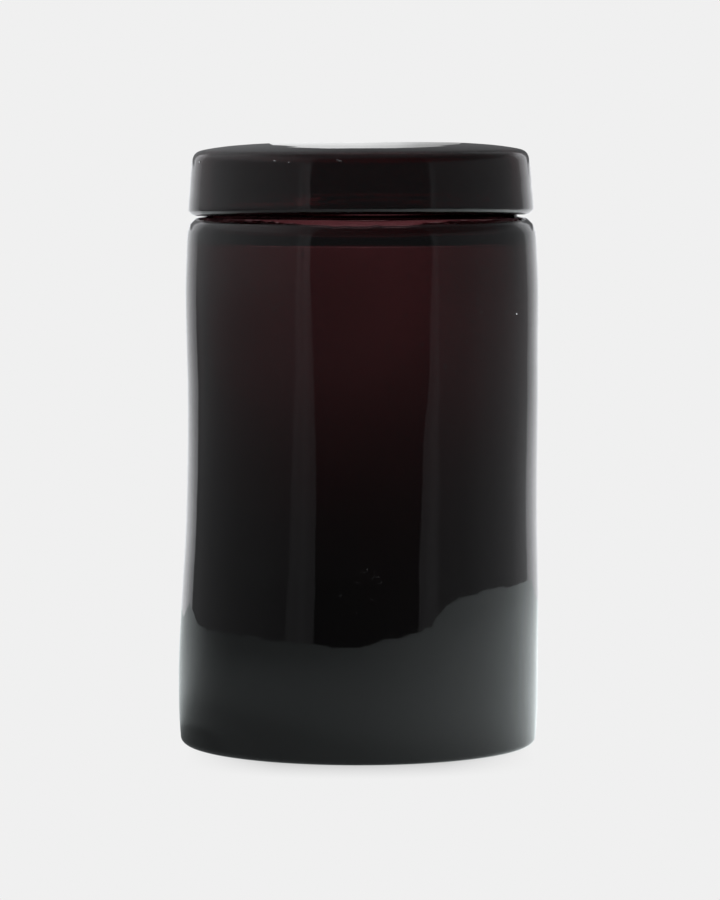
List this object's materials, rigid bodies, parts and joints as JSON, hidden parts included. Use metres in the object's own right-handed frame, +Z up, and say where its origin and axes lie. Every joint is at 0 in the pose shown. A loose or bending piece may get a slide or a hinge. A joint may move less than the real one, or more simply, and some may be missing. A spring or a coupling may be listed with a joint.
{
  "type": "apothecary jar",
  "caption": "Straight-sided dark glass apothecary jar with a loose overlapping cap lid that lifts off the neck.",
  "frame": {"origin": "centre of the ring that the jar stands on, at the height of the shelf", "axes": "+Z up along the axis of the jar; the jar is round, so +X and +Y are any two level directions"},
  "size_m": [0.0966, 0.0966, 0.1616],
  "materials": {
    "jar_glass": "gloss, fire-polished, near-black violet with a red glow where the wall is thin",
    "lid_glass": "gloss, fire-polished, near-black violet"
  },
  "bodies": {
    "jar": {"jar_body": "jar_glass"},
    "lid": {"cap_lid": "lid_glass"}
  },
  "joints": [
    {"name": "lid_lift", "type": "slide", "parent": "jar", "child": "lid", "axis": [0, 0, 1], "range_m": [0, 0.06]}
  ]
}
